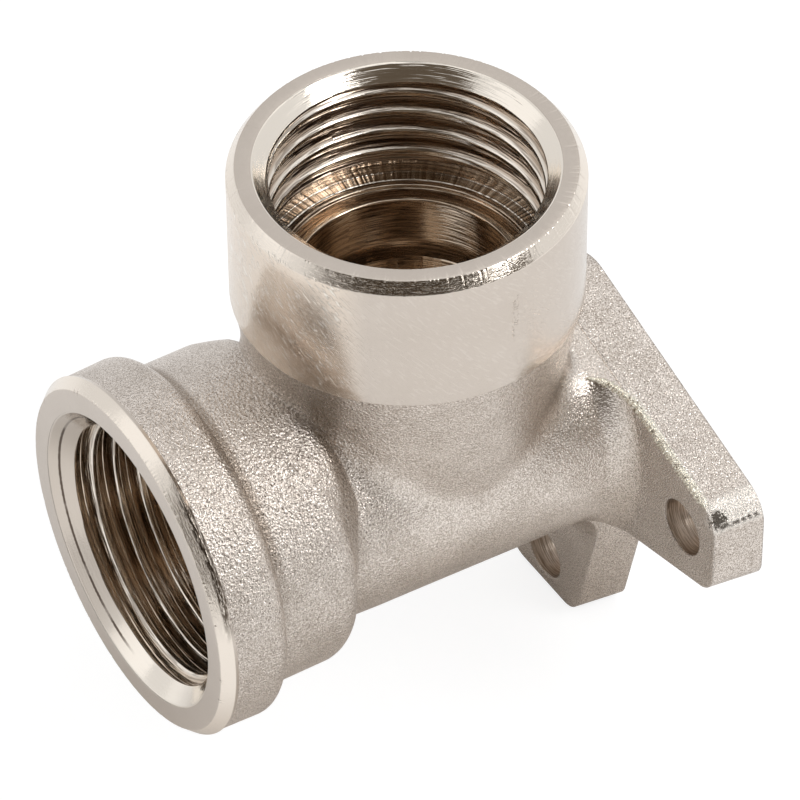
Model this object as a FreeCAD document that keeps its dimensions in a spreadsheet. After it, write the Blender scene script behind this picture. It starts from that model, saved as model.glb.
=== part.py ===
import FreeCAD
import Part
import Sketcher
import os

# Wall plate elbow: one forged brass body with two female ports and a wall plate with three ears.
# Frame: millimetres, +Z up. The wall is the plane Y = 0, and the origin is the point of it that
# the outlet's axis runs through. The outlet faces -Y and the inlet faces +Z.

sizes = {
    # the inlet's axis and the two port faces
    "axis_to_wall": 15.9,
    "outlet_face_to_wall": 39.3,
    "inlet_face_height": 26.2,
    # outlet: collar, ring and tube round the outlet's axis
    "outlet_chamfer_depth": 0.8,
    "outlet_chamfer_width": 0.7,
    "collar_step": 1.45,
    "collar_length": 4.7,
    "collar_round": 2.6,
    "ring_dia": 24.4,
    "ring_length": 4.0,
    "ring_round": 3.2,
    "tube_front_dia": 19.9,
    "tube_back_dia": 21.7,
    # inlet: a turned cylinder on the forged boss
    "inlet_dia": 25.0,
    "inlet_turned_length": 11.1,
    "inlet_chamfer_depth": 0.9,
    "inlet_chamfer_width": 0.6,
    "boss_top_dia": 24.8,
    "boss_foot_dia": 19.2,
    # radius of the boss's blend into the tube, as a share of the room between tube and wall
    "boss_blend_share": 0.693,
    # both ports inside: the thread is G 1/2, and its major diameter is the wall of the chamber
    "thread_major_dia": 20.955,
    "chamber_depth": 10.1,
    "inlet_mouth_dia": 21.5,
    "outlet_mouth_dia": 22.5,
    "seat_dia": 18.2,
    "seat_drop": 0.25,
    "bore_dia": 15.6,
    "bore_overrun": 1.5,
    "bore_tip": 4.5,
    # wall plate, seen from the front: half widths, and heights from the outlet's axis
    "plate_thickness": 4.0,
    "plate_draft": 5.0,
    "plate_top": 9.5,
    "plate_top_round": 3.0,
    "ear_reach": 21.8,
    "ear_rise": 2.95,
    "ear_drop": 4.4,
    "waist_half": 7.9,
    "waist_drop": 8.2,
    "foot_half": 4.6,
    "foot_drop": 21.6,
    "ear_top_round": 2.5,
    "ear_round": 2.0,
    # cove that spreads from the tube onto the plate
    "cove_foot_dia": 21.2,
    "cove_round": 2.6,
    # depth from the wall of the flat cut above the plate
    "trim_depth": 9.0,
    # screw holes, each held at a distance from the end of its ear
    "screw_hole_dia": 4.4,
    "side_hole_inset": 4.3,
    "side_hole_drop": 0.8,
    "foot_hole_inset": 3.3,
}

NEAR = 0.001  # two points closer than this, in millimetres, are the same

doc = FreeCAD.newDocument("WallPlateElbow")
sheet = doc.addObject("Spreadsheet::Sheet", "Sizes")
for row, (name, value) in enumerate(sizes.items(), 1):
    sheet.set("A%d" % row, name)
    sheet.set("B%d" % row, str(value))
    sheet.setAlias("B%d" % row, name)
doc.recompute()


class Size:
    """A number of the sheet, or a sum of such numbers: its value and the expression that gives it."""

    def __init__(self, value, text):
        self.value = value
        self.text = text

    def __add__(self, other):
        return Size(self.value + other.value, "(%s + %s)" % (self.text, other.text))

    def __sub__(self, other):
        return Size(self.value - other.value, "(%s - %s)" % (self.text, other.text))

    def __mul__(self, other):
        return Size(self.value * other.value, "(%s * %s)" % (self.text, other.text))

    def __truediv__(self, other):
        other = other if isinstance(other, Size) else Size(other, str(other))
        return Size(self.value / other.value, "(%s / %s)" % (self.text, other.text))

    def __neg__(self):
        return Size(-self.value, "(-%s)" % self.text)


def size(name):
    """The named cell of the sheet as a Size."""
    return Size(float(sheet.get(name)), "Sizes." + name)


nothing = Size(0, "0")


def plane(body, role):
    """The body's own origin plane with this role."""
    return [feature for feature in body.Origin.OriginFeatures if feature.Role == role][0]


def new_sketch(body, name, role):
    """An empty sketch on one of the body's origin planes."""
    sketch = body.newObject("Sketcher::SketchObject", name)
    sketch.AttachmentSupport = [(plane(body, role), "")]
    sketch.MapMode = "FlatFace"
    return sketch


def bind(sketch, kind, geometry, point, length):
    """Holds a point at a distance from the sketch's origin, given by the sheet."""
    index = sketch.addConstraint(Sketcher.Constraint(kind, -1, 1, geometry, point, length.value))
    sketch.setExpression("Constraints[%d]" % index, length.text)


def bind_radius(sketch, geometry, radius):
    """Holds the radius of an arc or a circle, given by the sheet."""
    index = sketch.addConstraint(Sketcher.Constraint("Radius", geometry, radius.value))
    sketch.setExpression("Constraints[%d]" % index, radius.text)


def add_outline(sketch, corners, bends=None):
    """A closed outline through the corners, straight but for the bends.

    corners: pairs of Size. bends: number of the corner where a bend starts, with its radius (Size)
    and the side of the line that its centre is on, 1 for the left and -1 for the right.
    """
    bends = bends or {}
    count = len(corners)
    points = [FreeCAD.Vector(across.value, up.value, 0) for across, up in corners]
    ends = []
    for number in range(count):
        first = points[number]
        last = points[(number + 1) % count]
        if number in bends:
            radius, side = bends[number]
            chord = last - first
            normal = FreeCAD.Vector(-chord.y, chord.x, 0).normalize() * side
            rise = (radius.value ** 2 - (chord.Length / 2) ** 2) ** 0.5
            top = (first + last) / 2 + normal * (rise - radius.value)
            sketch.addGeometry(Part.Arc(first, top, last), False)
        else:
            sketch.addGeometry(Part.LineSegment(first, last), False)
        forward = sketch.getPoint(number, 1).distanceToPoint(first) < NEAR
        ends.append((1, 2) if forward else (2, 1))
    for number, (across, up) in enumerate(corners):
        start = ends[number][0]
        before = (number - 1) % count
        sketch.addConstraint(Sketcher.Constraint("Coincident", before, ends[before][1], number, start))
        bind(sketch, "DistanceX", number, start, across)
        bind(sketch, "DistanceY", number, start, up)
    for number, (radius, side) in bends.items():
        bind_radius(sketch, number, radius)
    doc.recompute()


def add_circle(sketch, across, up, radius):
    """A circle with its centre and radius held by the sheet."""
    centre = FreeCAD.Vector(across.value, up.value, 0)
    circle = Part.Circle(centre, FreeCAD.Vector(0, 0, 1), radius.value)
    number = sketch.addGeometry(circle, False)
    bind(sketch, "DistanceX", number, 3, across)
    bind(sketch, "DistanceY", number, 3, up)
    bind_radius(sketch, number, radius)
    doc.recompute()


def add_axis(sketch, across, top):
    """An upright construction line in the sketch, for a turned feature."""
    ends = [FreeCAD.Vector(across.value, up.value, 0) for up in (nothing, top)]
    number = sketch.addGeometry(Part.LineSegment(*ends), True)
    for point, up in ((1, nothing), (2, top)):
        bind(sketch, "DistanceX", number, point, across)
        bind(sketch, "DistanceY", number, point, up)
    doc.recompute()


def arc_run(radius, drop):
    """Length along the axis of an arc that starts level and falls by the drop."""
    value = (radius.value ** 2 - (radius.value - drop.value) ** 2) ** 0.5
    return Size(value, "sqrt(%s ^ 2 - (%s - %s) ^ 2)" % (radius.text, radius.text, drop.text))


def tangent_run(radius, rise, run):
    """Half the width of an arc that rounds the top of a gable with this rise and run."""
    value = radius.value * rise.value / (rise.value ** 2 + run.value ** 2) ** 0.5
    text = "%s * %s / sqrt(%s ^ 2 + %s ^ 2)" % (radius.text, rise.text, rise.text, run.text)
    return Size(value, "(%s)" % text)


def turned(body, kind, name, sketch, axis):
    """A Revolution or Groove of the sketch round one of its axes."""
    feature = body.newObject("PartDesign::" + kind, name)
    feature.Profile = sketch
    feature.ReferenceAxis = (sketch, [axis])
    feature.Angle = 360
    doc.recompute()
    return feature


def pocket(body, name, sketch, depth):
    """A straight cut from the wall's plane towards the outlet."""
    feature = body.newObject("PartDesign::Pocket", name)
    feature.Profile = sketch
    feature.setExpression("Length", depth.text)
    feature.Reversed = True
    doc.recompute()
    return feature


def pick(feature, test):
    """Names of the edges of a feature that pass a test."""
    return ["Edge%d" % number for number, edge in enumerate(feature.Shape.Edges, 1) if test(edge)]


def rounded(body, name, base, edges, radius):
    """A fillet on edges of the feature before it."""
    feature = body.newObject("PartDesign::Fillet", name)
    feature.Base = (base, edges)
    feature.setExpression("Radius", radius.text)
    doc.recompute()
    return feature


# Wall plate in a body of its own: three ears with drafted sides
flange = doc.addObject("PartDesign::Body", "flange")
doc.recompute()

plate_front = -size("plate_thickness")
cove_start = plate_front - size("cove_round")
cove_foot_r = size("cove_foot_dia") / 2
ear_reach = size("ear_reach")
ear_foot = (ear_reach, -size("ear_drop"))
foot = (size("foot_half"), -size("foot_drop"))
half = [
    (ear_reach, size("plate_top") + size("cove_round")),
    ear_foot,
    (size("waist_half"), -size("waist_drop")),
    foot,
]

plate_profile = new_sketch(flange, "PlateProfile", "XZ_Plane")
add_outline(plate_profile, half + [(-across, up) for across, up in reversed(half)])
plate = flange.newObject("PartDesign::Pad", "Plate")
plate.Profile = plate_profile
plate.setExpression("Length", (-cove_start).text)
plate.setExpression("TaperAngle", "-Sizes.plate_draft")
doc.recompute()

# The plate's top is a low gable without draft, with a round where its slopes meet
fall = size("plate_top") - size("ear_rise")
gable_half = tangent_run(size("plate_top_round"), fall, ear_reach)
gable_height = size("plate_top") - gable_half * fall / ear_reach
gable_end = size("ear_rise") - fall
sky = size("plate_top") + size("inlet_face_height")
above_plate = [
    (gable_half, gable_height),
    (ear_reach + ear_reach, gable_end),
    (ear_reach + ear_reach, sky),
    (-ear_reach - ear_reach, sky),
    (-ear_reach - ear_reach, gable_end),
    (-gable_half, gable_height),
]
gable_bends = {5: (size("plate_top_round"), -1)}
gable_profile = new_sketch(flange, "GableProfile", "XZ_Plane")
add_outline(gable_profile, above_plate, gable_bends)
gable = pocket(flange, "Gable", gable_profile, -cove_start)

# The front of the plate, with the cove that spreads onto it from the tube
clear_r = ear_reach + size("foot_drop")
clear_y = cove_start - size("plate_thickness")
cove_profile = new_sketch(flange, "CoveProfile", "YZ_Plane")
add_outline(cove_profile, [
    (clear_y, -cove_foot_r),
    (cove_start, -cove_foot_r),
    (plate_front, -cove_foot_r - size("cove_round")),
    (plate_front, -clear_r),
    (clear_y, -clear_r),
], bends={1: (size("cove_round"), -1)})
cove = turned(flange, "Groove", "Cove", cove_profile, "H_Axis")


def is_corner(edge, corner):
    """Does this edge run forward from this corner of the plate's back, or from its mirror image?"""
    across, up = corner
    on_wall = [point for point in edge.Vertexes if point.Y > -NEAR]
    return (len(edge.Vertexes) == 2 and len(on_wall) == 1
            and abs(abs(on_wall[0].X) - across.value) < NEAR
            and abs(on_wall[0].Z - up.value) < NEAR)


ear_top = (ear_reach, size("ear_rise"))
ear_tops = rounded(flange, "EarTopRound", cove,
                   pick(cove, lambda edge: is_corner(edge, ear_top)), size("ear_top_round"))
ears = rounded(flange, "EarRound", ear_tops,
               pick(ear_tops, lambda edge: is_corner(edge, ear_foot) or is_corner(edge, foot)),
               size("ear_round"))

body = doc.addObject("PartDesign::Body", "elbow_body")
body.Label = "elbow_body"
doc.recompute()

axis_y = -size("axis_to_wall")
outlet_y = -size("outlet_face_to_wall")

# Outlet's stations along its axis and the radii there
ring_r = size("ring_dia") / 2
collar_r = ring_r + size("collar_step")
tube_front_r = size("tube_front_dia") / 2
collar_back = outlet_y + size("collar_length")
ring_front = collar_back + arc_run(size("collar_round"), size("collar_step"))
ring_back = ring_front + size("ring_length")
ring_foot = ring_back + arc_run(size("ring_round"), ring_r - tube_front_r)

# Tube from inside the ring to the wall, with its seam on the underside, away from the boss
tube_profile = new_sketch(body, "TubeProfile", "YZ_Plane")
add_outline(tube_profile, [
    (ring_front, nothing),
    (ring_front, -tube_front_r),
    (nothing, -size("tube_back_dia") / 2),
    (nothing, nothing),
])
tube = turned(body, "Revolution", "Tube", tube_profile, "H_Axis")

# Inlet: forged boss, and the turned cylinder with its chamfer
inlet_top = size("inlet_face_height")
inlet_r = size("inlet_dia") / 2
boss_foot_r = size("boss_foot_dia") / 2
boss_top_r = size("boss_top_dia") / 2
turned_foot = inlet_top - size("inlet_turned_length")

inlet_profile = new_sketch(body, "InletProfile", "YZ_Plane")
inlet_corners = [
    (axis_y, nothing),
    (axis_y + boss_foot_r, nothing),
    (axis_y + boss_top_r, turned_foot),
    (axis_y + inlet_r, turned_foot),
    (axis_y + inlet_r, inlet_top - size("inlet_chamfer_depth")),
    (axis_y + inlet_r - size("inlet_chamfer_width"), inlet_top),
    (axis_y, inlet_top),
]
add_outline(inlet_profile, inlet_corners)
add_axis(inlet_profile, axis_y, inlet_top)
inlet = turned(body, "Revolution", "Inlet", inlet_profile, "Axis0")


def is_boss_foot(edge):
    """Is this part of the curve where the boss meets the tube?"""
    return edge.Curve.TypeId == "Part::GeomBSplineCurve" and edge.BoundBox.ZMax < ring_r.value


blend_r = (size("axis_to_wall") - size("tube_back_dia") / 2) * size("boss_blend_share")
blend = rounded(body, "BossBlend", inlet, pick(inlet, is_boss_foot), blend_r)

# Above the plate the back of the tube and of its blend is cut away, and the boss made whole again
trim_profile = new_sketch(body, "TrimProfile", "XZ_Plane")
add_outline(trim_profile, above_plate, gable_bends)
trim = pocket(body, "Trim", trim_profile, size("trim_depth"))

boss_profile = new_sketch(body, "BossProfile", "YZ_Plane")
add_outline(boss_profile, inlet_corners)
add_axis(boss_profile, axis_y, inlet_top)
boss = turned(body, "Revolution", "Boss", boss_profile, "Axis0")

joined = body.newObject("PartDesign::Boolean", "WithFlange")
joined.Type = "Fuse"
joined.setObjects([flange])
doc.recompute()

# Outlet: chamfered collar and the ring behind it
outlet_profile = new_sketch(body, "OutletProfile", "YZ_Plane")
add_outline(outlet_profile, [
    (outlet_y, nothing),
    (outlet_y, collar_r - size("outlet_chamfer_width")),
    (outlet_y + size("outlet_chamfer_depth"), collar_r),
    (collar_back, collar_r),
    (ring_front, ring_r),
    (ring_back, ring_r),
    (ring_foot, tube_front_r),
    (ring_foot, nothing),
], bends={3: (size("collar_round"), -1), 5: (size("ring_round"), -1)})
outlet = turned(body, "Revolution", "Outlet", outlet_profile, "H_Axis")


def port_corners(face_to_axis, mouth_r):
    """Depth and radius at each corner of a port's inside, from its face to the end of the bore."""
    thread_r = size("thread_major_dia") / 2
    seat_r = size("seat_dia") / 2
    bore_r = size("bore_dia") / 2
    floor = size("chamber_depth")
    seat = floor + size("seat_drop")
    bore_end = face_to_axis + size("bore_overrun")
    return [
        (nothing, nothing),
        (nothing, mouth_r),
        (mouth_r - thread_r, thread_r),
        (floor, thread_r),
        (floor, seat_r),
        (seat, seat_r),
        (seat, bore_r),
        (bore_end, bore_r),
        (bore_end + size("bore_tip"), nothing),
    ]


# Inside of the outlet and of the inlet: mouth, chamber for the thread, seat and bore
outlet_inside = new_sketch(body, "OutletInside", "YZ_Plane")
add_outline(outlet_inside, [
    (outlet_y + depth, radius)
    for depth, radius in port_corners(axis_y - outlet_y, size("outlet_mouth_dia") / 2)
])
outlet_port = turned(body, "Groove", "OutletPort", outlet_inside, "H_Axis")

inlet_inside = new_sketch(body, "InletInside", "YZ_Plane")
add_outline(inlet_inside, [
    (axis_y + radius, inlet_top - depth)
    for depth, radius in port_corners(inlet_top, size("inlet_mouth_dia") / 2)
])
add_axis(inlet_inside, axis_y, inlet_top)
inlet_port = turned(body, "Groove", "InletPort", inlet_inside, "Axis0")

# Three screw holes through the plate
hole_profile = new_sketch(body, "HoleProfile", "XZ_Plane")
side_reach = ear_reach - size("side_hole_inset")
side_up = -size("side_hole_drop")
foot_up = size("foot_hole_inset") - size("foot_drop")
for across, up in ((-side_reach, side_up), (side_reach, side_up), (nothing, foot_up)):
    add_circle(hole_profile, across, up, size("screw_hole_dia") / 2)
holes = pocket(body, "ScrewHoles", hole_profile, -cove_start)

# Every feature has to be sound, and each cut has to take material away
faults = [thing.Name for thing in doc.Objects if "Invalid" in thing.State or "Error" in thing.State]
features = [thing for thing in flange.Group + body.Group
            if thing.TypeId.startswith("PartDesign::") and thing is not flange]
faults += [thing.Name for thing in features if thing.Shape.isNull() or not thing.Shape.isValid()]
cuts = ((plate, gable), (gable, cove), (blend, trim), (outlet, outlet_port), (outlet_port, inlet_port),
        (inlet_port, holes))
for before, cut in cuts:
    if cut.Shape.Volume > before.Shape.Volume - NEAR:
        faults.append(cut.Name + " takes nothing away")
if len(body.Shape.Solids) != 1:
    faults.append("the body is not one solid")
if faults:
    raise SystemExit("faults: " + ", ".join(faults))

os.makedirs("parts", exist_ok=True)
body.Shape.exportStep("parts/elbow_body.step")
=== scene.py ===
import math

import bmesh
import bpy
import numpy as np
from mathutils import Matrix, Vector


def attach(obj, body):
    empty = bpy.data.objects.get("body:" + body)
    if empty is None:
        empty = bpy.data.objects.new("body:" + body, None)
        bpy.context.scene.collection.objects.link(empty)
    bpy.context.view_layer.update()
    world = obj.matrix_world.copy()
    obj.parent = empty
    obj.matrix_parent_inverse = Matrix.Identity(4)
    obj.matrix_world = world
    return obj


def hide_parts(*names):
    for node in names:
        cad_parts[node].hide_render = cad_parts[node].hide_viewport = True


# Wall plate elbow. Shapes are worked out in millimetres and put into the meshes in metres.
# The inlet opens along +Z, the outlet along -Y, and the wall is the plane Y = 0.

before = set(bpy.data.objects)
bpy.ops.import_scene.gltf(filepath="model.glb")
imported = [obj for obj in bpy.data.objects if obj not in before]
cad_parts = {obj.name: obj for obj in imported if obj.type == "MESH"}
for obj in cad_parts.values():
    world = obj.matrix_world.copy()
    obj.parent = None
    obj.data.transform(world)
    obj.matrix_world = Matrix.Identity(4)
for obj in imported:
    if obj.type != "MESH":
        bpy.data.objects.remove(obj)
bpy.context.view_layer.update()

MM = 0.001
AXIS_TO_WALL = 15.9
OUTLET_FACE = 39.3
INLET_FACE = 26.2
INLET_OUTER_R = 12.5
INLET_EDGE_R = 11.87
INLET_MOUTH_R = 10.73
OUTLET_OUTER_R = 13.66
OUTLET_EDGE_R = 12.95
OUTLET_MOUTH_R = 11.25

THREAD_PITCH = 1.814
THREAD_CREST = 9.55
THREAD_ROOT = 10.42
CHAMBER_R = 10.5
BORE_R = 7.8

PLATE_FRONT = -4.0
PLATE_EDGE_RISE = 9.5
PLATE_EDGE_SLOPE = 0.3005
SCREW_HOLE_R = 2.17
SIDE_HOLE = (17.5, -0.8)
FOOT_HOLE = (0.0, -18.3)


# Shapes


def inlet_place(radius, angle, depth):
    """Points at a radius and angle round the inlet's axis and a depth below its face."""
    forward = radius * np.sin(angle) - AXIS_TO_WALL
    return np.stack([radius * np.cos(angle), forward, INLET_FACE - depth], -1)


def outlet_place(radius, angle, depth):
    """Points at a radius and angle round the outlet's axis and a depth behind its face."""
    return np.stack([radius * np.cos(angle), depth - OUTLET_FACE, radius * np.sin(angle)], -1)


def add_piece(name, points, faces, material):
    """A mesh object of the part from points in millimetres and faces."""
    mesh = bpy.data.meshes.new(name)
    mesh.from_pydata((points * MM).tolist(), [], faces.tolist())
    mesh.polygons.foreach_set("use_smooth", np.ones(len(mesh.polygons), bool))
    mesh.update()
    piece = bpy.data.objects.new(name, mesh)
    bpy.context.scene.collection.objects.link(piece)
    piece.data.materials.append(material)
    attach(piece, "root")
    return piece


def ring_faces(rows, columns):
    """Quads of a grid that closes on itself both ways: each joins a point to those of the next
    row and the next column."""
    row, column = np.meshgrid(np.arange(rows), np.arange(columns), indexing="ij")
    down = (row + 1) % rows
    on = (column + 1) % columns
    quads = [row * columns + column, row * columns + on, down * columns + on, down * columns + column]
    return np.stack(quads, -1).reshape(-1, 4)


def rounded_profile(corners, rounds, step):
    """A closed profile with each corner turned into an arc and each straight run divided.

    An arc starts and ends at its round's distance from the corner along both runs and follows the
    parabola that touches the runs there. The runs between arcs are divided into lengths near the step.
    """
    arc_points = 5
    corners = np.asarray(corners, float)
    rounds = np.asarray(rounds, float)[:, None]
    to_last = np.roll(corners, 1, 0) - corners
    to_next = np.roll(corners, -1, 0) - corners
    start = corners + to_last / np.linalg.norm(to_last, axis=1, keepdims=True) * rounds
    end = corners + to_next / np.linalg.norm(to_next, axis=1, keepdims=True) * rounds
    along = np.linspace(0, 1, arc_points)[:, None]
    pieces = []
    for number in range(len(corners)):
        if rounds[number, 0] > 0:
            a, b, c = start[number], corners[number], end[number]
            pieces.append(a * (1 - along) ** 2 + b * 2 * along * (1 - along) + c * along ** 2)
        else:
            pieces.append(corners[number:number + 1])
        begin = end[number]
        finish = start[(number + 1) % len(corners)]
        count = max(1, int(round(np.linalg.norm(finish - begin) / step)))
        inner = np.linspace(0, 1, count + 1)[1:-1, None]
        pieces.append(begin + (finish - begin) * inner)
    return np.concatenate(pieces)


def turned_ring(place, profile, columns, wander=None):
    """Points of a profile (radius, depth) carried round a port's axis in equal angles, and its faces.

    A wander changes the radius and depth by the angle before the points are placed.
    """
    angle = np.linspace(0, 2 * math.pi, columns, endpoint=False)
    radius = np.repeat(profile[:, :1], columns, 1)
    depth = np.repeat(profile[:, 1:], columns, 1)
    if wander is not None:
        radius, depth = wander(radius, depth, angle[None, :])
    points = place(radius, np.broadcast_to(angle, radius.shape), depth)
    return points.reshape(-1, 3), ring_faces(len(profile), columns)


def ripple(angle, slowest, fastest, seed):
    """An uneven wave round a circle: the sum of sines of whole frequencies with drawn phases,
    divided so that it mostly stays between -1 and 1."""
    sines = 40
    peak = 9
    draw = np.random.default_rng(seed)
    rate = draw.integers(slowest, fastest, sines)
    phase = draw.uniform(0, 2 * math.pi, sines)
    return np.sin(np.asarray(angle)[..., None] * rate + phase).sum(-1) / peak


def thread_radius(angle, depth, phase):
    """Radius of the tapped wall: a crest flat, a flank, a root flat and a flank, one pitch long.

    The turn's place is depth plus pitch times angle over a full turn, so that it goes deeper
    clockwise as seen from the mouth. The corners are softened by averaging three places, and the
    cut grows from nothing to its full depth just below the countersink.
    """
    crest = 0.21
    flank = 0.27
    cone_end, run_in = 0.85, 0.7
    places = (depth + THREAD_PITCH * angle / (2 * math.pi) - phase) / THREAD_PITCH
    lift = 0
    for shift in np.linspace(-0.018, 0.018, 3):
        part = (places + shift) % 1
        stations = [0, flank, 1 - crest - flank, 1 - crest, 1]
        lift = lift + np.interp(part, stations, [0, 1, 1, 0, 0]) / 3
    cut = np.clip((depth - cone_end) / run_in, 0, 1)
    return THREAD_CREST + (THREAD_ROOT - THREAD_CREST) * lift * cut * cut * (3 - 2 * cut)


def port_wall(place, mouth_r, phase, name, material):
    """The inside of a port: at each depth the hole is as wide as the widest of its cutters leaves it.

    The countersink's radius falls with depth, the tap's is thread_radius, and the relief under the
    thread opens with depth to the chamber's radius. The floor, its seat and the first of the bore
    follow, and the ring closes behind them inside the metal.
    """
    columns = 480
    relief_start, relief_slope = 7.9, 0.8
    angle = np.linspace(0, 2 * math.pi, columns, endpoint=False)[None, :]
    mouth = np.linspace(0, 0.8, 8)
    turns = np.linspace(0.8, 8.6, 134)[1:]
    under = np.linspace(8.6, 10.1, 12)[1:]
    depth = np.concatenate([mouth, turns, under])[:, None]
    cone = mouth_r - depth
    tap = thread_radius(angle, depth, phase)
    relief = np.clip(THREAD_CREST + (depth - relief_start) * relief_slope, 0, CHAMBER_R)
    radius = np.maximum(np.maximum(cone, tap), relief)
    depth = np.broadcast_to(depth, radius.shape)
    floor = np.array([[10.35, 10.14], [9.9, 10.15], [9.3, 10.15], [9.14, 10.16], [9.1, 10.22],
                      [9.08, 10.38], [9.0, 10.4], [8.4, 10.4], [7.95, 10.4], [7.83, 10.45],
                      [BORE_R, 10.6], [BORE_R, 12], [BORE_R, 14], [BORE_R, 16],
                      [8.6, 16], [9.4, 13], [11.2, 10.8], [11.2, 8], [11.2, 5], [11.2, 2],
                      [11.1, 0.6], [mouth_r + 0.15, 0.3]])
    floor_r = np.repeat(floor[:, :1], columns, 1)
    floor_d = np.repeat(floor[:, 1:], columns, 1)
    radius = np.concatenate([radius, floor_r])
    depth = np.concatenate([depth, floor_d])
    points = place(radius, np.broadcast_to(angle, radius.shape), depth).reshape(-1, 3)
    add_piece(name, points, ring_faces(len(radius), columns), material)


def merged_copy(node, name):
    """A copy of a CAD node with its loose triangles merged, to be dressed in its place."""
    merge_distance = 1e-6
    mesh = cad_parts[node].data.copy()
    mesh.name = name
    work = bmesh.new()
    work.from_mesh(mesh)
    bmesh.ops.remove_doubles(work, verts=work.verts, dist=merge_distance)
    work.to_mesh(mesh)
    work.free()
    if "custom_normal" in mesh.attributes:
        mesh.attributes.remove(mesh.attributes["custom_normal"])
    piece = bpy.data.objects.new(name, mesh)
    bpy.context.scene.collection.objects.link(piece)
    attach(piece, "root")
    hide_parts(node)
    return piece


def mesh_points(mesh):
    """The mesh's points in millimetres."""
    points = np.empty(len(mesh.vertices) * 3)
    mesh.vertices.foreach_get("co", points)
    return points.reshape(-1, 3) / MM


def refine(mesh, centres, reach, longest):
    """Halves every edge near a centre until none is longer than the longest, all in millimetres."""
    most_rounds = 6
    work = bmesh.new()
    work.from_mesh(mesh)

    def close(edge):
        """Whether an end or the middle of an edge lies within reach of a centre."""
        spots = [vert.co for vert in edge.verts]
        spots.append((spots[0] + spots[1]) / 2)
        return any((spot - centre).length < reach * MM for centre in centres for spot in spots)

    for _ in range(most_rounds):
        long_ones = [edge for edge in work.edges
                     if edge.calc_length() > longest * MM and close(edge)]
        if not long_ones:
            break
        bmesh.ops.subdivide_edges(work, edges=long_ones, cuts=1)
        cut = [face for face in work.faces if len(face.verts) > 3]
        bmesh.ops.triangulate(work, faces=cut)
    work.to_mesh(mesh)
    work.free()


def slide_outlet_rounds(mesh):
    """Moves the rounds behind the collar and the ring toward the outlet's face, on the outer wall.

    The shift runs in straight lines between stations along the axis. The inner walls and the face
    stay, and beside the boss the shift fades out with the distance from the inlet's axis.
    """
    boss_r, fade = 12.7, 1.4
    inside_collar, inside_ring, widest = 11.6, 9.7, 13.9
    ring_start = -28.6
    points = mesh_points(mesh)
    from_outlet = np.hypot(points[:, 0], points[:, 2])
    from_inlet = np.hypot(points[:, 0], points[:, 1] + AXIS_TO_WALL)
    stations = [-38.5, -34.6, -32.27, -28.27, -25.21, -21.5]
    shift = np.interp(points[:, 1], stations, [0.0, 0.43, 1.33, 0.63, 1.24, 0.0])
    behind = (points[:, 1] > ring_start) & (from_outlet > inside_ring)
    outer = (from_outlet < widest) & ((from_outlet > inside_collar) | behind)
    beside = np.where(points[:, 2] > 0, np.clip((from_inlet - boss_r) / fade, 0, 1), 1)
    points[:, 1] -= shift * outer * beside
    mesh.vertices.foreach_set("co", (points * MM).ravel())
    mesh.update()


def relax(mesh, centres, inner, outer, rounds):
    """Moves each point again and again halfway to the mean of its neighbours, fully inside the inner
    distance of a centre and less and less out to the outer one."""
    step = 0.5
    points = mesh_points(mesh)
    ends = np.empty(len(mesh.edges) * 2, int)
    mesh.edges.foreach_get("vertices", ends)
    ends = ends.reshape(-1, 2)
    away = [np.linalg.norm(points - np.array(centre) / MM, axis=1) for centre in centres]
    far = np.min(away, axis=0)
    share = np.clip((outer - far) / (outer - inner), 0, 1)[:, None] * step
    count = np.bincount(ends.ravel(), minlength=len(points))[:, None]
    for _ in range(rounds):
        total = np.zeros_like(points)
        np.add.at(total, ends[:, 0], points[ends[:, 1]])
        np.add.at(total, ends[:, 1], points[ends[:, 0]])
        points += (total / count - points) * share
    mesh.vertices.foreach_set("co", (points * MM).ravel())
    mesh.update()


# Materials


class Value:
    """A socket in a material. Arithmetic on it adds Math nodes."""

    def __init__(self, shading, socket):
        self.shading = shading
        self.socket = socket

    def math(self, operation, *others):
        """A Math node on this value and the others."""
        values = dict(enumerate((self,) + others))
        return self.shading.node("ShaderNodeMath", {"operation": operation}, values)

    def __add__(self, other):
        return self.math("ADD", other)

    def __sub__(self, other):
        return self.math("SUBTRACT", other)

    def __mul__(self, other):
        return self.math("MULTIPLY", other)

    def __radd__(self, other):
        return self.math("ADD", other)

    def __rmul__(self, other):
        return self.math("MULTIPLY", other)

    def __rsub__(self, other):
        return self.math("MULTIPLY_ADD", -1, other)

    def low(self, other):
        """The smaller of the two."""
        return self.math("MINIMUM", other)

    def high(self, other):
        """The larger of the two."""
        return self.math("MAXIMUM", other)

    def ramp(self, start, end, low=0.0, high=1.0):
        """Goes smoothly from low to high as the value goes from start to end."""
        inputs = {"Value": self, "From Min": start, "From Max": end, "To Min": low, "To Max": high}
        settings = {"interpolation_type": "SMOOTHSTEP"}
        return self.shading.node("ShaderNodeMapRange", settings, inputs)


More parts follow.
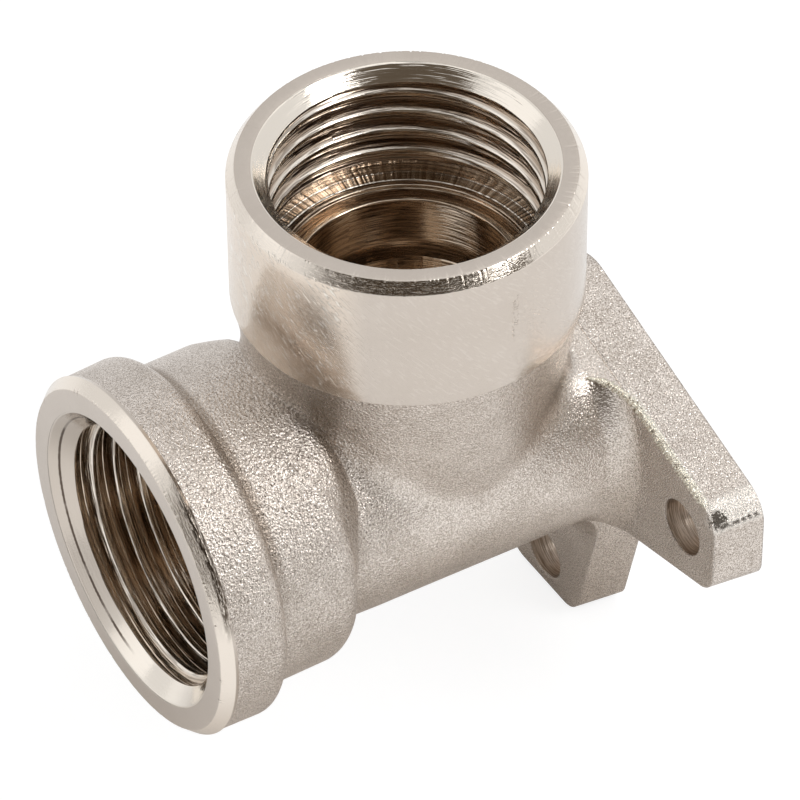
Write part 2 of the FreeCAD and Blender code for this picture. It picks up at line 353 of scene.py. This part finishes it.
class Shading:
    """The nodes of a material or a world, with one way to add one."""

    def __init__(self, owner):
        self.owner = owner
        owner.use_nodes = True
        self.tree = owner.node_tree
        self.tree.nodes.clear()

    def node(self, kind, settings=None, inputs=None, output=0):
        """A node of a kind: its settings first, then its inputs, and the output it is read by."""
        made = self.tree.nodes.new(kind)
        for name, value in (settings or {}).items():
            setattr(made, name, value)
        for name, value in (inputs or {}).items():
            if isinstance(value, Value):
                self.tree.links.new(value.socket, made.inputs[name])
            else:
                made.inputs[name].default_value = value
        return Value(self, made.outputs[output])

    def vector(self, operation, *values, output=0, **named):
        """A Vector Math node."""
        inputs = dict(enumerate(values))
        inputs.update(named)
        return self.node("ShaderNodeVectorMath", {"operation": operation}, inputs, output)

    def blend(self, part, first, second):
        """From the first colour to the second as the part goes from 0 to 1."""
        colours = {number: (*value, 1) if isinstance(value, tuple) else value
                   for number, value in ((6, first), (7, second))}
        return self.node("ShaderNodeMix", {"data_type": "RGBA"}, {0: part, **colours}, 2)

    def mix(self, part, first, second):
        """From the first shader to the second as the part goes from 0 to 1."""
        return self.node("ShaderNodeMixShader", None, {0: part, 1: first, 2: second})

    def surface(self, shader, kind="ShaderNodeOutputMaterial"):
        """Puts the shader on the owner's surface."""
        made = self.tree.nodes.new(kind)
        self.tree.links.new(shader.socket, made.inputs["Surface"])
        return self.owner


class Finish(Shading):
    """A metal's material. Its place is in millimetres."""

    def __init__(self, name):
        super().__init__(bpy.data.materials.new(name))
        where = self.node("ShaderNodeTexCoord", output="Object")
        self.place = self.vector("SCALE", where, Scale=1 / MM)
        self.x, self.y, self.z = (self.axis(number) for number in range(3))

    def axis(self, number):
        """One of the place's three parts."""
        return self.node("ShaderNodeSeparateXYZ", inputs={0: self.place}, output=number)

    def join(self, x, y, z):
        """A vector from three values."""
        return self.node("ShaderNodeCombineXYZ", inputs={0: x, 1: y, 2: z})

    def noise(self, place, scale, detail, roughness):
        """Cloudy noise, about 0.5 in the mean."""
        inputs = {"Vector": place, "Scale": scale, "Detail": detail, "Roughness": roughness}
        return self.node("ShaderNodeTexNoise", None, inputs)

    def cells(self, place, scale):
        """Distance from the middle of the nearest of many scattered cells."""
        return self.node("ShaderNodeTexVoronoi", None, {"Vector": place, "Scale": scale}, "Distance")

    def pick(self, part, first, second):
        """From the first value to the second as the part goes from 0 to 1."""
        return (second - first) * part + first

    def near(self, point, inner, outer):
        """1 within the inner distance of a point and 0 beyond the outer one, in millimetres."""
        return self.vector("DISTANCE", self.place, point, output=1).ramp(inner, outer, 1.0, 0.0)

    def rounded_edges(self, radius):
        """The surface's direction, turned gradually over each sharp edge within a radius."""
        return self.node("ShaderNodeBevel", {"samples": 4}, {"Radius": radius * MM})

    def bump(self, height, distance, strength=1.0, under=None):
        """Small relief: a height of 1 is as high as the distance in millimetres."""
        inputs = {"Height": height, "Distance": distance * MM, "Strength": strength}
        if under is not None:
            inputs["Normal"] = under
        return self.node("ShaderNodeBump", None, inputs)

    def metal(self, colour, roughness, normal):
        """The material, as bare metal."""
        inputs = {"Base Color": colour, "Roughness": roughness, "Metallic": 1.0, "Normal": normal}
        return self.surface(self.node("ShaderNodeBsdfPrincipled", None, inputs))


def blasted_nickel():
    """Shot blasted forging: close grain with bright and dark specks, painted brown shade in the
    valleys behind the collar and the ring, and glittering on the right ear's upper end, where the metal was
    struck."""
    dark_grain, bright_grain = (0.54, 0.475, 0.415), (0.94, 0.865, 0.80)
    speck_brown, valley_shade_brown, scar_brown = (0.30, 0.25, 0.21), (0.27, 0.21, 0.16), (0.07, 0.055, 0.04)
    worn_bright, end_bright = (1.0, 0.95, 0.83), (0.95, 0.89, 0.82)
    collar_valley, ring_valley = -33.45, -26.3
    struck_place, crease_place = (21.0, -3.4, 2.55), (21.6, -1.9, 2.05)
    edge_lean = 0.96
    f = Finish("blasted_nickel")
    fine = f.noise(f.place, 8.5, 1.0, 0.5)
    middle = f.noise(f.place, 6.0, 3.0, 0.65)
    broad = f.noise(f.place, 0.35, 3.0, 0.55)
    pits = f.cells(f.place, 4.6)
    scale = f.noise(f.place, 4.2, 3.0, 0.7)
    ends = f.y.ramp(-20, -26)
    plate = f.y.ramp(-4.3, -3.8)
    plate_front = (f.y - PLATE_FRONT).math("ABSOLUTE").ramp(0.14, 0.05)
    grain = f.pick(ends * 0.3 + 0.25 - plate * 0.2, fine, middle)
    tone = grain.ramp(0.38, 0.62) * 0.75 + broad.ramp(0.3, 0.7) * 0.25
    colour = f.blend(tone, dark_grain, bright_grain)
    specks = f.noise(f.place, 13.0, 0.0, 0.5).ramp(0.56, 0.66) * (ends * 0.35 + plate * 0.45 + 0.45)
    colour = f.blend(specks, colour, speck_brown)
    # Painted shade: brown in the valleys behind the collar and the ring, on their upper side.
    behind_collar = ((f.y - collar_valley) * 1.3).math("ABSOLUTE").ramp(1.0, 0.25)
    behind_ring = ((f.y - ring_valley) * 0.9).math("ABSOLUTE").ramp(1.0, 0.2)
    upper = (f.z - f.x * 0.3).ramp(-4, 5)
    valley_shade = behind_collar.high(behind_ring) * upper * middle.ramp(0.3, 0.6, 0.45, 1.0)
    colour = f.blend(valley_shade * 0.8, colour, valley_shade_brown)
    above_edge = (f.z + f.x * PLATE_EDGE_SLOPE - PLATE_EDGE_RISE) * edge_lean
    from_edge = f.vector("LENGTH", f.join(0.0, f.y - PLATE_FRONT, above_edge), output=1)
    worn = from_edge.ramp(0.62, 0.30) * f.x.ramp(9.5, 12.0) * f.x.ramp(20.8, 20.3)
    colour = f.blend(worn * scale.ramp(0.40, 0.48), colour, worn_bright)
    struck = f.near(struck_place, 0.0, 1.15)
    crease_line = (f.z - crease_place[2] + (scale - 0.5) * 0.8).math("ABSOLUTE").ramp(0.24, 0.06)
    crease = f.near(crease_place, 1.2, 2.2) * crease_line
    rough_end = f.x.ramp(19.6, 20.5) * f.z.ramp(1.5, 2.0)
    colour = f.blend(rough_end, colour, end_bright)
    torn_out = (struck + (scale - 0.5) * 3.0 + (middle - 0.5) * 1.5).ramp(0.42, 0.56)
    scar = (torn_out * struck.ramp(0.02, 0.15)).high(crease * scale.ramp(0.60, 0.48))
    colour = f.blend(scar * 0.92, colour, scar_brown)
    smoother = (rough_end + struck + worn).low(1.0) * 0.09
    roughness = fine.ramp(0.3, 0.7, 0.30, 0.20) - smoother + ends * 0.04
    blasted_relief = grain * (0.60 + ends * 0.25 + plate_front * 0.7) + pits * (0.20 + ends * 0.42)
    struck_relief = scale * (rough_end * 1.5 + struck * 2.0 + worn)
    normal = f.bump(blasted_relief + struck_relief, 0.10, 1.0, f.rounded_edges(0.20))
    return f.metal(colour, roughness, normal)


def turned_nickel():
    """Turned and plated faces: smooth, with scratches, knocks and torn bright metal on the chamfers,
    a painted tan reflection on the inlet's left side, and painted dark reflection on the side of the chamfers
    that faces the camera.
    """
    dark_plating, bright_plating = (0.615, 0.545, 0.48), (0.685, 0.615, 0.55)
    reflection_tan, scratch_bright, chamfer_bright = (0.86, 0.755, 0.65), (1.0, 0.95, 0.88), (0.90, 0.82, 0.73)
    torn_and_reflection_brown, rim_and_reflection_brown = (0.14, 0.11, 0.08), (0.10, 0.075, 0.055)
    outlet_arc_r = 13.4
    f = Finish("turned_nickel")
    broad = f.noise(f.place, 0.25, 2.0, 0.5)
    fine = f.noise(f.place, 3.0, 2.0, 0.6)
    inlet_r = (f.x * f.x + (f.y + AXIS_TO_WALL) * (f.y + AXIS_TO_WALL)).math("SQRT")
    outlet_r = (f.x * f.x + f.z * f.z).math("SQRT")
    inlet_arc = (f.y + AXIS_TO_WALL).math("ARCTAN2", f.x) * INLET_OUTER_R
    outlet_arc = f.z.math("ARCTAN2", f.x) * outlet_arc_r
    at_outlet = f.y.ramp(-36.0, -37.0)
    slant = f.noise(f.join((inlet_arc - f.z) * 0.35, (inlet_arc + f.z) * 1.9, 0.0), 2.2, 1.0, 0.5)
    patchy = f.noise(f.place, 0.55, 1.0, 0.5)
    scratched = inlet_arc.ramp(-10.5, -12.5) * 0.85 + 0.15
    on_side = inlet_r.ramp(12.3, 12.42)
    scratch = slant.ramp(0.56, 0.62) * patchy.ramp(0.32, 0.50) * scratched * (1 - at_outlet) * on_side
    dent_line = (inlet_arc - 0.9).math("ABSOLUTE").ramp(0.35, 0.1)
    dent_row = dent_line * f.z.ramp(23.6, 23.0) * f.z.ramp(18.8, 19.4) * inlet_r.ramp(12.3, 12.4)
    dents = f.noise(f.place, 2.6, 2.0, 0.6).ramp(0.52, 0.62) * dent_row
    inlet_chamfer = inlet_r.ramp(11.84, 11.92) * f.z.ramp(25.28, 25.36)
    outlet_chamfer = outlet_r.ramp(12.92, 13.0) * f.y.ramp(-38.4, -38.5)
    chamfer = inlet_chamfer.high(outlet_chamfer)
    torn_inlet = f.noise(f.join(inlet_arc * 0.9, f.z * 5.0, inlet_r * 5.0), 1.6, 3.0, 0.75)
    torn_outlet = f.noise(f.join(outlet_arc * 0.9, f.y * 5.0, outlet_r * 5.0), 1.6, 3.0, 0.75)
    torn = f.pick(at_outlet, torn_inlet, torn_outlet)
    # Painted dark reflection: on the side of each port that faces the camera the chamfer's torn marks are
    # painted brown; the torn marks are real, their darkness there is painted.
    inlet_dark_reflection = (inlet_arc + 7.0).math("ABSOLUTE").ramp(8.5, 4.5)
    outlet_dark_reflection = (outlet_arc - 9.0).math("ABSOLUTE").ramp(6.5, 3.5)
    dark_reflection_side = f.pick(at_outlet, inlet_dark_reflection, outlet_dark_reflection)
    colour = f.blend(broad, dark_plating, bright_plating)
    # Painted reflection: a tan band on the inlet's left side, where the turned face reflects the collar, ring
    # and tube.
    tan_reflection_part = inlet_arc.ramp(-9.5, -12.5) * (1 - at_outlet) * on_side
    colour = f.blend(tan_reflection_part, colour, reflection_tan)
    colour = f.blend(scratch * 0.8, colour, scratch_bright)
    colour = f.blend(chamfer, colour, chamfer_bright)
    torn_and_dark_reflection = chamfer * dark_reflection_side * torn.ramp(0.62, 0.50) * f.pick(at_outlet, 0.55, 0.2)
    colour = f.blend(torn_and_dark_reflection, colour, torn_and_reflection_brown)
    # A ragged brown rim behind the outlet's chamfer: real edge marks, painted dark only on the side that faces
    # the camera as painted dark reflection.
    rim = outlet_r.ramp(13.38, 13.5) * f.y.ramp(-37.4, -37.7) * dark_reflection_side * at_outlet
    colour = f.blend(rim * torn.ramp(0.60, 0.46), colour, rim_and_reflection_brown)
    roughness = fine.ramp(0.35, 0.7, 0.17, 0.26) - chamfer * 0.06
    height = fine * 0.3 - scratch * 2.4 - dents * 3.5 + torn * chamfer * (1.6 + dark_reflection_side * 3.0)
    normal = f.bump(height, 0.010, 0.9)
    return f.metal(colour, roughness, normal)


def drilled_nickel():
    """Wall of a screw hole: rings left by the drill, browner than the plate."""
    f = Finish("drilled_nickel")
    rings = f.noise(f.join(f.x * 0.06, f.y, f.z * 0.06), 9.0, 2.0, 0.7)
    colour = f.blend(rings.ramp(0.38, 0.62), (0.36, 0.29, 0.23), (0.64, 0.55, 0.47))
    normal = f.bump(rings, 0.035, 0.9)
    return f.metal(colour, rings.ramp(0.3, 0.7, 0.44, 0.32), normal)


def tapped_nickel(name, across):
    """Inside of a port: turning lines round the axis, a painted highlight on the thread's crests and
    painted shade in its roots, and chatter marks across the relief under it. Across names the port."""
    crest_bright, bore_tan, line_brown = (0.93, 0.86, 0.77), (0.66, 0.54, 0.42), (0.20, 0.15, 0.11)
    chatter_dark, chatter_bright = (0.50, 0.40, 0.30), (1.0, 0.96, 0.88)
    cone_shade_tan, score_brown = (0.66, 0.59, 0.52), (0.13, 0.10, 0.08)
    score_r = 10.62
    f = Finish(name)
    if across == "inlet":
        along = f.z
        first, second = f.x, f.y + AXIS_TO_WALL
        toward = 1
        # Painted shade in the inlet thread's roots.
        root = (0.54, 0.43, 0.335)
        mouth = (INLET_FACE - 1.0, INLET_FACE - 1.3)
        deep = (INLET_FACE - 8.3, INLET_FACE - 8.6)
    else:
        along = f.y
        first, second = f.x, f.z
        toward = -1
        # Painted shade in the outlet thread's roots, lighter than the inlet's.
        root = (0.74, 0.62, 0.50)
        mouth = (1.45 - OUTLET_FACE, 1.75 - OUTLET_FACE)
        deep = (8.3 - OUTLET_FACE, 8.6 - OUTLET_FACE)
    radius = (first * first + second * second).math("SQRT")
    turn = second.math("ARCTAN2", first)
    lines = f.noise(f.join(radius, along, turn * 0.5), 5.5, 1.5, 0.6)
    fine = f.noise(f.place, 5.0, 2.0, 0.6)
    chatter = f.noise(f.join(turn * 10.5, along * 0.2, 0.0), 2.8, 2.0, 0.7)
    inside = along.ramp(*mouth)
    above_seat = along.ramp(deep[0] - 1.9 * toward, deep[0] - 1.7 * toward, 1.0, 0.0)
    in_band = along.ramp(*deep) * above_seat * radius.ramp(9.6, 9.75)
    # Painted highlight and shade: the thread's crests cream and its roots darker.
    depth = radius.ramp(9.62, 9.95) * inside
    colour = f.blend(depth, crest_bright, root)
    colour = f.blend(radius.ramp(9.45, 9.1) * inside, colour, bore_tan)
    colour = f.blend(inside * lines.ramp(0.52, 0.40) * 0.6, colour, line_brown)
    marks = f.blend(chatter.ramp(0.42, 0.56), chatter_dark, chatter_bright)
    colour = f.blend(in_band, colour, marks)
    if across == "outlet":
        # Painted shade: the outlet's countersink darker on its left side.
        colour = f.blend(first.ramp(0.0, -6.0) * (1 - inside), colour, cone_shade_tan)
        wobble = (fine - 0.5) * 0.06
        score = (radius - score_r + wobble).math("ABSOLUTE").ramp(0.085, 0.04)
        score = score * (1 - inside) * first.ramp(-0.5, -3.0)
        score = score * f.noise(f.place, 0.5, 2.0, 0.6).ramp(0.30, 0.50, 0.5, 1.0)
        colour = f.blend(score, colour, score_brown)
    roughness = lines.ramp(0.3, 0.7, 0.10, 0.20) + in_band * 0.08
    far_side = (second * 0.53 - first * 0.85).ramp(3.0, 7.5) * (0.5 + 0.5 * toward)
    turning = lines * (0.06 + inside * 0.94 + far_side * (1 - inside) * 2.2)
    height = turning + fine * 0.15 + chatter * in_band * 5.0
    normal = f.bump(height, 0.035, 0.9)
    return f.metal(colour, roughness, normal)


def upset_nickel():
    """Burr left along a forged edge: bright torn metal with dark pits."""
    f = Finish("upset_nickel")
    lumps = f.noise(f.place, 4.5, 3.0, 0.7)
    colour = f.blend(lumps.ramp(0.34, 0.46), (0.26, 0.20, 0.14), (1.0, 0.95, 0.82))
    return f.metal(colour, lumps.ramp(0.3, 0.7, 0.30, 0.18), f.bump(lumps, 0.14, 1.0))


# Pieces

turned = turned_nickel()
tapped_inlet = tapped_nickel("tapped_inlet", "inlet")
tapped_outlet = tapped_nickel("tapped_outlet", "outlet")


def sink_under_turnings(mesh):
    """Moves the forging's points at the turned faces and port walls into the metal, against their
    normals, so that the turned pieces lie over them."""
    sunk_by = 0.12
    points = mesh_points(mesh)
    normals = np.empty(len(mesh.vertices) * 3)
    mesh.vertices.foreach_get("normal", normals)
    normals = normals.reshape(-1, 3)
    from_inlet = np.hypot(points[:, 0], points[:, 1] + AXIS_TO_WALL)
    from_outlet = np.hypot(points[:, 0], points[:, 2])
    inlet_side = (from_inlet < 12.6) & (points[:, 2] > 15.0) & (from_inlet > 12.45)
    inlet_top = (from_inlet < 12.6) & (points[:, 2] > 25.0)
    inlet_inside = (from_inlet < 11.3) & (points[:, 2] > 10.5)
    outlet_front = points[:, 1] < -38.3
    outlet_inside = (from_outlet < 11.3) & (points[:, 1] < -24.0)
    sunk = inlet_side | inlet_top | inlet_inside | outlet_front | outlet_inside
    points[sunk] -= normals[sunk] * sunk_by
    mesh.vertices.foreach_set("co", (points * MM).ravel())


def finish_bores(mesh, blasted_slot, inlet_slot, outlet_slot):
    """Gives each face the number of its finish, by its middle: the inlet's bore down to the tube,
    the outlet's bore and where the two meet, and the blasted outside."""
    bore_reach, tube_reach = 8.3, 9
    outlet_bore_end, inlet_bore_bottom, inlet_bore_top, meeting = -12.5, -8.5, 17, 4
    middles = np.empty(len(mesh.polygons) * 3)
    mesh.polygons.foreach_get("center", middles)
    x, y, z = (middles.reshape(-1, 3) / MM).T
    from_outlet = np.hypot(x, z)
    in_outlet = (from_outlet < bore_reach) & (y < outlet_bore_end)
    in_inlet = (np.hypot(x, y + AXIS_TO_WALL) < bore_reach) & (z > inlet_bore_bottom) & (z < inlet_bore_top)
    in_inlet &= (z > 0) | (from_outlet < tube_reach)
    lower = np.where(in_outlet | in_inlet, outlet_slot, blasted_slot)
    mesh.polygons.foreach_set("material_index", np.where(in_inlet & (z > meeting), inlet_slot, lower))


forging = merged_copy("elbow_body", "forging")
forging.data.materials.clear()
for material in (blasted_nickel(), tapped_inlet, tapped_outlet):
    forging.data.materials.append(material)
saddles = [Vector((side * 7.3, -7.4, 7.4)) * MM for side in (-1, 1)]
refine(forging.data, saddles, reach=5.0, longest=0.45)
relax(forging.data, saddles, inner=0.8, outer=2.7, rounds=90)
slide_outlet_rounds(forging.data)
sink_under_turnings(forging.data)
forging.data.polygons.foreach_set("use_smooth", np.ones(len(forging.data.polygons), bool))
forging.data.set_sharp_from_angle(angle=math.radians(28))
finish_bores(forging.data, 0, 1, 2)
forging.data.update()

inlet_phase = 2.16 + THREAD_PITCH * math.radians(148.3) / (2 * math.pi)
outlet_phase = 2.2
port_wall(inlet_place, INLET_MOUTH_R, inlet_phase, "inlet_wall", tapped_inlet)
port_wall(outlet_place, OUTLET_MOUTH_R, outlet_phase, "outlet_wall", tapped_outlet)


def ragged(edge_r, seed):
    """Moves the profile near a face's outer edge out and down, less and less out to a reach, by the
    cube of an uneven wave round the axis, so that most of the edge stays and a few places tear."""
    reach, size, down = 0.16, 0.05, 0.5
    slowest, fastest, highest = 60, 330, 1.3

    def wander(radius, depth, angle):
        """The radius grows by the wave's cube and the depth by half its size."""
        near = np.clip(1 - np.hypot(radius - edge_r, depth) / reach, 0, 1)
        wave = np.clip(ripple(angle, slowest, fastest, seed), -highest, highest) ** 3
        return radius + near * wave * size, depth + near * np.abs(wave) * size * down
    return wander


# Profiles of the turned outsides: radius and depth of each corner, and the round at each.
around = 1200
inlet_profile = rounded_profile(
    [(INLET_OUTER_R, 11.1), (INLET_OUTER_R, 0.88), (11.986, 0.163), (INLET_EDGE_R, 0.0), (11.67, 0.0),
     (INLET_MOUTH_R, 0.0), (10.95, 0.4), (10.95, 11.0), (11.9, 11.2)],
    [0.05, 0.05, 0.0, 0.04, 0.0, 0.03, 0.0, 0.0, 0.0], 0.9)
points, faces = turned_ring(inlet_place, inlet_profile[::-1], around, ragged(INLET_EDGE_R, 5))
add_piece("inlet_turning", points, faces[:, ::-1], turned)

outlet_profile = rounded_profile(
    [(OUTLET_OUTER_R, 0.82), (13.081, 0.151), (OUTLET_EDGE_R, 0.0), (12.75, 0.0), (OUTLET_MOUTH_R, 0.0),
     (11.5, 0.4), (11.8, 1.5), (13.4, 1.5)],
    [0.06, 0.0, 0.04, 0.0, 0.03, 0.0, 0.0, 0.0], 0.3)
points, faces = turned_ring(outlet_place, outlet_profile, around, ragged(OUTLET_EDGE_R, 9))
add_piece("outlet_turning", points, faces, turned)


def burr_along(path, radius, corners, name, material):
    """A thin closed tube with an uneven radius carried along a path: its ends shrink to points.

    At each place the ring's points lie at equal angles across the path's direction, at a radius
    that an uneven wave changes along and round the tube.
    """
    end_growth, end_least = 12, 0.0004
    unevenness, thinnest, thickest = 0.45, 0.35, 1.8
    wrap, slowest, fastest, seed = 0.3, 8, 60, 3
    count = len(path)
    along = np.gradient(path, axis=0)
    along /= np.linalg.norm(along, axis=1, keepdims=True)
    side = np.cross(along, (0.0, 0.0, 1.0))
    side /= np.linalg.norm(side, axis=1, keepdims=True)
    over = np.cross(side, along)
    share = np.linspace(0, 1, count)
    angle = np.linspace(0, 2 * math.pi, corners, endpoint=False)
    thick = radius * np.sqrt(np.clip(np.minimum(share, 1 - share) * end_growth, end_least, 1))
    place = share[:, None] * 2 * math.pi + wrap * np.sin(angle)[None, :]
    uneven = 1 + unevenness * ripple(place, slowest, fastest, seed)
    size = (thick[:, None] * np.clip(uneven, thinnest, thickest))[..., None]
    ring = np.cos(angle)[None, :, None] * side[:, None] + np.sin(angle)[None, :, None] * over[:, None]
    points = path[:, None] + size * ring
    faces = ring_faces(count, corners)[:(count - 1) * corners]
    piece = add_piece(name, points.reshape(-1, 3), faces, material)
    work = bmesh.new()
    work.from_mesh(piece.data)
    rims = [edge for edge in work.edges if edge.is_boundary]
    bmesh.ops.holes_fill(work, edges=rims, sides=corners)
    bmesh.ops.recalc_face_normals(work, faces=work.faces)
    work.to_mesh(piece.data)
    work.free()


# The burr follows the right ear's upper front edge: a straight line seen from the front, whose
# depth follows the cove's arc until the cove has run out onto the plate.
cove_r, cove_end = 2.6, 13.2
off_edge = 0.02
across = np.linspace(7.95, 20.2, 240)
height = PLATE_EDGE_RISE - PLATE_EDGE_SLOPE * across
inside_cove = np.clip(cove_end - np.hypot(across, height), 0, cove_r)
forward = PLATE_FRONT - cove_r + np.sqrt(cove_r ** 2 - inside_cove ** 2)
burr_path = np.stack([across, forward - off_edge, height + off_edge], -1)
burr_along(burr_path, 0.28, 8, "plate_burr", upset_nickel())


def hole_place(across, up):
    """A function that places a ring round a screw hole's axis."""
    def place(radius, angle, depth):
        """Points at a radius and angle round the hole's axis and a depth behind the plate's front."""
        return np.stack([across + radius * np.cos(angle), depth + PLATE_FRONT, up + radius * np.sin(angle)], -1)
    return place


drilled = drilled_nickel()
hole_profile = rounded_profile(
    [(2.27, 0.02), (SCREW_HOLE_R, 0.14), (SCREW_HOLE_R, 3.86), (2.27, 3.98), (2.55, 3.9), (2.55, 0.1)],
    [0.0, 0.04, 0.04, 0.0, 0.0, 0.0], 0.4)
for name, across, up in (("right_hole_wall", SIDE_HOLE[0], SIDE_HOLE[1]),
                         ("left_hole_wall", -SIDE_HOLE[0], SIDE_HOLE[1]),
                         ("foot_hole_wall", *FOOT_HOLE)):
    points, faces = turned_ring(hole_place(across, up), hole_profile[::-1], 96)
    add_piece(name, points, faces[:, ::-1], drilled)


# Floor, light and camera. Here lengths are in metres and angles in degrees.

PART_MIDDLE = (0, -0.018, 0.003)
FLOOR_LEVEL = -0.0217
FLOOR_HALF = 2.0
FLAG_BROWN = (0.10, 0.08, 0.06)


def direction(azimuth, elevation):
    """The direction of two angles: azimuth 0 is on -Y and 90 on +X, as in the other views."""
    a, e = math.radians(azimuth), math.radians(elevation)
    return math.sin(a) * math.cos(e), -math.cos(a) * math.cos(e), math.sin(e)


def rightwards(azimuth):
    """The level direction to the right of one who looks at the part from an azimuth."""
    a = math.radians(azimuth)
    return math.cos(a), math.sin(a), 0.0


def area_light(name, azimuth, elevation, size, power):
    """A rectangular lamp at a distance of 0.9 m that faces the part's middle."""
    distance = 0.9
    data = bpy.data.lights.new(name, "AREA")
    data.shape = "RECTANGLE"
    data.size, data.size_y = size
    data.energy = power
    lamp = bpy.data.objects.new(name, data)
    bpy.context.scene.collection.objects.link(lamp)
    place = Vector(PART_MIDDLE) + Vector(direction(azimuth, elevation)) * distance
    lamp.location = place
    lamp.rotation_euler = (Vector(PART_MIDDLE) - place).to_track_quat("-Z", "Y").to_euler()


def white_floor():
    """A white floor that glows in part for the camera. Round the part it is greyer in the metal's
    reflections, where the part's own shade lies on it."""
    white, shade = (0.93, 0.93, 0.93), (0.64, 0.60, 0.56)
    shade_middle, shade_end, shade_start = (0.0, -0.018, FLOOR_LEVEL), 0.040, 0.016
    glow_share, glow_strength = 0.70, 1.15
    corners = [(-1, -1), (1, -1), (1, 1), (-1, 1)]
    mesh = bpy.data.meshes.new("floor")
    mesh.from_pydata([(x * FLOOR_HALF, y * FLOOR_HALF, FLOOR_LEVEL) for x, y in corners], [], [(0, 1, 2, 3)])
    floor = bpy.data.objects.new("floor", mesh)
    bpy.context.scene.collection.objects.link(floor)
    f = Shading(bpy.data.materials.new("floor_white"))
    where = f.node("ShaderNodeTexCoord", output="Object")
    seen_in_metal = f.node("ShaderNodeLightPath", output="Is Glossy Ray")
    seen_by_camera = f.node("ShaderNodeLightPath", output="Is Camera Ray")
    close = f.vector("DISTANCE", where, shade_middle, output=1).ramp(shade_end, shade_start)
    inputs = {"Base Color": f.blend(seen_in_metal * close, white, shade), "Roughness": 0.9}
    matt = f.node("ShaderNodeBsdfPrincipled", None, inputs)
    glow = f.node("ShaderNodeEmission", None, {"Strength": glow_strength})
    mesh.materials.append(f.surface(f.mix(seen_by_camera * glow_share, matt, glow)))


def studio_world():
    """An even white world, white for the camera and a little weaker as light."""
    light_strength, camera_strength = 0.78, 1.0
    f = Shading(bpy.data.worlds.new("studio"))
    seen_by_camera = f.node("ShaderNodeLightPath", output="Is Camera Ray")
    strength = f.node("ShaderNodeMix", None, {0: seen_by_camera, 2: light_strength, 3: camera_strength})
    inputs = {"Color": (1, 1, 1, 1), "Strength": strength}
    bpy.context.scene.world = f.surface(f.node("ShaderNodeBackground", None, inputs), "ShaderNodeOutputWorld")


def dark_flag(name, azimuth, elevation, distance, reach):
    """A dark cap of a sphere round the part, seen in its metal only: angles from the cap's middle
    run out to the reach and round it in full turns, all at one distance. It fades out at its rim."""
    rings, columns = 24, 72
    fade_start = 0.85
    out = np.linspace(0, math.radians(reach), rings)[:, None]
    turn = np.linspace(0, 2 * math.pi, columns, endpoint=False)[None, :]
    middle = np.array(direction(azimuth, elevation))
    side = np.array(rightwards(azimuth))
    top = np.cross(middle, side)
    way = (np.cos(out)[..., None] * middle + (np.sin(out) * np.cos(turn))[..., None] * side
           + (np.sin(out) * np.sin(turn))[..., None] * top)
    points = (way * distance + np.array(PART_MIDDLE)).reshape(-1, 3)
    faces = ring_faces(rings, columns)[:(rings - 1) * columns]
    mesh = bpy.data.meshes.new(name)
    mesh.from_pydata(points.tolist(), [], faces.tolist())
    flag = bpy.data.objects.new(name, mesh)
    bpy.context.scene.collection.objects.link(flag)
    flag.visible_camera = False
    flag.visible_diffuse = False
    flag.visible_shadow = False
    flag.visible_transmission = False
    f = Shading(bpy.data.materials.new(name))
    where = f.node("ShaderNodeTexCoord", output="Object")
    rim = 2 * distance * math.sin(math.radians(reach) / 2)
    cap_middle = tuple(middle * distance + np.array(PART_MIDDLE))
    fade = f.vector("DISTANCE", where, cap_middle, output=1).ramp(rim * fade_start, rim)
    dark = f.node("ShaderNodeEmission", None, {"Color": (*FLAG_BROWN, 1)})
    clear = f.node("ShaderNodeBsdfTransparent")
    mesh.materials.append(f.surface(f.mix(fade, dark, clear)))


white_floor()
studio_world()
area_light("top_softbox", 200, 70, size=(0.8, 0.8), power=0.5)
area_light("right_softbox", 123, 43, size=(0.32, 0.44), power=2.6)
area_light("left_softbox", -32, 32, size=(0.5, 0.8), power=0.3)
dark_flag("camera_side", 56, 36, distance=1.0, reach=44)
dark_flag("low_right", 113, 9, distance=1.05, reach=22)

# The camera's place and turn, in millimetres and degrees, and its focal length in picture widths.
azimuth, elevation, roll = 58.288, 44.044, math.radians(-0.438)
distance, aside, raised = 410.967, -0.584, 2.589
focal_pixels, picture_pixels, sensor_width = 5720.05, 800, 36
back = Vector(direction(azimuth, elevation))
right = Vector(rightwards(azimuth))
up = back.cross(right)
spot = back * distance + right * aside + up * raised - Vector((0, AXIS_TO_WALL, 0))
turned_right = right * math.cos(roll) + up * math.sin(roll)
turned_up = up * math.cos(roll) - right * math.sin(roll)
turn = Matrix((turned_right, turned_up, back)).transposed().to_4x4()

camera_data = bpy.data.cameras.new("camera")
camera_data.sensor_width = sensor_width
camera_data.lens = focal_pixels * sensor_width / picture_pixels
camera_data.clip_start = 0.01
camera_data.clip_end = 20
camera = bpy.data.objects.new("camera", camera_data)
bpy.context.scene.collection.objects.link(camera)
camera.matrix_world = Matrix.Translation(spot * MM) @ turn
bpy.context.scene.camera = camera
bpy.context.scene.view_settings.view_transform = "Standard"
